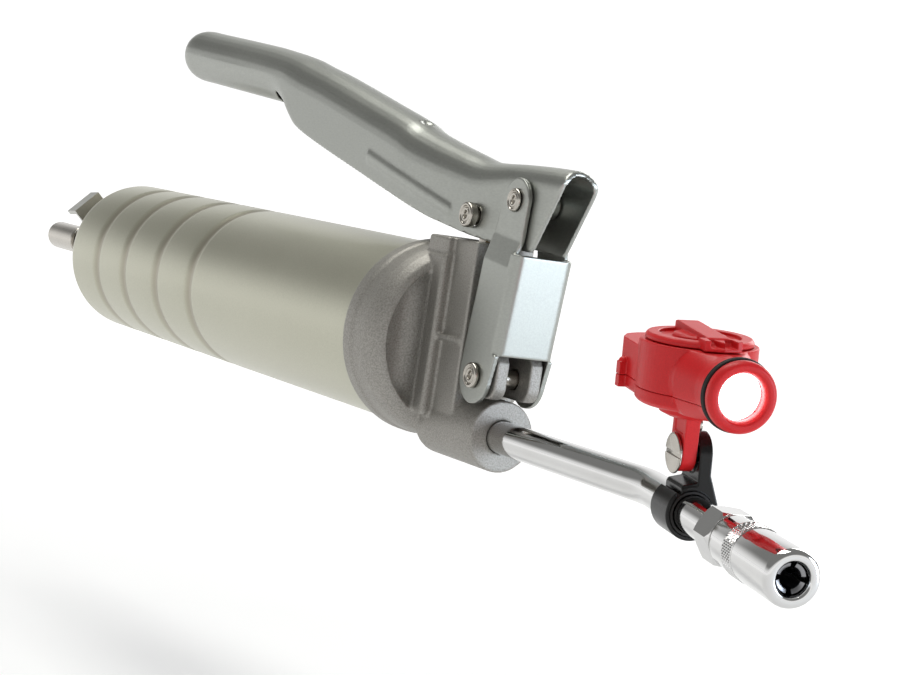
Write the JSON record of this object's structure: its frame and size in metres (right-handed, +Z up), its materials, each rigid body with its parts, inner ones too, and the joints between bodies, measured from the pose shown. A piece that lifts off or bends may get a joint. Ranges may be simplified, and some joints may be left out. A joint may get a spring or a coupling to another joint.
{
  "type": "grease gun",
  "caption": "Lever-action cartridge grease gun with a rigid chromed outlet pipe, jaw coupler and a small clip-on LED work light.",
  "frame": {"origin": "on the barrel axis at the middle of the plain barrel, where a hand or a bench clip holds the gun", "axes": "+X along the barrel towards the outlet, +Z up towards the hand lever, +Y to the far side"},
  "size_m": [0.5628, 0.0606, 0.1269],
  "materials": {
    "cast_alloy": "sand-textured die casting",
    "satin_paint": "satin silver-grey",
    "zinc_steel": "zinc-plated pressed sheet",
    "nickel": "polished nickel",
    "chrome": "mirror chrome",
    "spring_steel": "bright drawn wire",
    "black_rubber": "matte",
    "black_plastic": "glossy",
    "red_plastic": "satin moulded",
    "brass": "turned",
    "circuit_board": "white solder mask",
    "led_white": "lit phosphor",
    "clear_lens": "clear moulded lens"
  },
  "bodies": {
    "root": {"head_casting": "cast_alloy", "barrel_tube": "satin_paint", "barrel_gasket": "black_rubber", "rod_guide_bush": "brass", "rod_lock_bracket": "zinc_steel", "rod_lock_spring": "spring_steel", "follower_spring": "spring_steel", "plunger_seal": "black_rubber", "plunger_gland": "brass", "check_spring": "spring_steel", "link_pivot_rivet": "nickel", "outlet_pipe": "chrome", "coupler_body": "chrome", "coupler_sleeve": "chrome", "coupler_spring": "spring_steel"},
    "link": {"link_bracket": "zinc_steel", "lever_pivot_rivet": "nickel", "lever_pivot_spacer": "zinc_steel"},
    "lever": {"hand_lever": "zinc_steel", "plunger_pin": "nickel"},
    "plunger": {"pump_plunger": "nickel"},
    "follower": {"follower_rod": "nickel", "rod_knob": "nickel", "follower_back_plate": "zinc_steel", "follower_cup": "black_rubber", "follower_front_plate": "zinc_steel", "follower_nut": "zinc_steel"},
    "rod_lock": {"rod_lock_lever": "zinc_steel"},
    "check_valve": {"check_ball": "nickel"},
    "jaws": {"coupler_jaw_1": "spring_steel", "coupler_jaw_2": "spring_steel", "coupler_jaw_3": "spring_steel", "coupler_jaw_4": "spring_steel", "coupler_seal": "black_rubber"},
    "clamp_carrier": {"clamp_liner": "black_rubber"},
    "clamp": {"clamp_ring": "black_plastic", "tilt_screw": "nickel", "tilt_nut": "nickel"},
    "light_stem": {"torch_stem": "red_plastic", "swivel_lock_screw": "nickel", "swivel_circlip": "spring_steel"},
    "light": {"torch_housing_lower": "red_plastic", "torch_housing_upper": "red_plastic", "coin_cell_lower": "nickel", "coin_cell_upper": "nickel", "battery_contact": "brass", "led_board": "circuit_board", "led_reflector": "chrome", "led_emitter": "led_white", "torch_lens": "clear_lens", "lens_bezel": "red_plastic", "lens_o_ring": "black_rubber"},
    "cover": {"battery_cover": "red_plastic"}
  },
  "joints": [
    {"name": "link_rock", "type": "hinge", "parent": "root", "child": "link", "pos_m": [0.1095, 0, -0.0065], "axis": [0, 1, 0], "range_deg": [-2, 0.5]},
    {"name": "lever_pivot", "type": "hinge", "parent": "link", "child": "lever", "pos_m": [0.1155, 0, 0.0456], "axis": [0, 1, 0], "range_deg": [0, 42]},
    {"name": "plunger_slide", "type": "slide", "parent": "root", "child": "plunger", "axis": [0, 0, 1], "range_m": [0, 0.018]},
    {"name": "follower_slide", "type": "slide", "parent": "root", "child": "follower", "axis": [-1, 0, 0], "range_m": [-0.046, 0.12], "deforming": ["follower_spring"]},
    {"name": "rod_lock_tilt", "type": "hinge", "parent": "root", "child": "rod_lock", "pos_m": [-0.1962, 0.01103, -0.01103], "axis": [0, 0.7071, 0.7071], "range_deg": [0, 6], "stiffness_Nm_per_rad": 0.4, "springref_deg": -5.73, "deforming": ["rod_lock_spring"]},
    {"name": "check_valve_lift", "type": "slide", "parent": "root", "child": "check_valve", "axis": [1, 0, 0], "range_m": [0, 0.0012], "stiffness_N_per_m": 300, "springref_m": -0.001, "deforming": ["check_spring"]},
    {"name": "coupler_jaws_slide", "type": "slide", "parent": "root", "child": "jaws", "axis": [0.9682, -0.245, -0.0515], "range_m": [-0.0015, 0], "stiffness_N_per_m": 1500, "springref_m": 0.001, "deforming": ["coupler_spring"]},
    {"name": "clamp_slide", "type": "slide", "parent": "root", "child": "clamp_carrier", "axis": [0.9682, -0.245, -0.0515], "range_m": [-0.008, 0.012]},
    {"name": "clamp_turn", "type": "hinge", "parent": "clamp_carrier", "child": "clamp", "pos_m": [0.21501, -0.00607, -0.02462], "axis": [0.9682, -0.245, -0.0515], "continuous": true},
    {"name": "torch_tilt", "type": "hinge", "parent": "clamp", "child": "light_stem", "pos_m": [0.21502, -0.00902, -0.01044], "axis": [0.2487, 0.9647, 0.087], "range_deg": [-38, 17]},
    {"name": "torch_pan", "type": "hinge", "parent": "light_stem", "child": "light", "pos_m": [0.21793, -0.01092, 0.00232], "axis": [0.0452, -0.1013, 0.9938], "range_deg": [-90, 90]},
    {"name": "cover_twist", "type": "hinge", "parent": "light", "child": "cover", "pos_m": [0.21961, -0.01276, 0.01795], "axis": [0.0452, -0.1013, 0.9938], "range_deg": [-60, 0]}
  ],
  "couplings": [
    {"joint": "link_rock", "follows": "lever_pivot", "ratio": -0.015},
    {"joint": "plunger_slide", "follows": "lever_pivot", "m_per_rad": 0.0234}
  ]
}
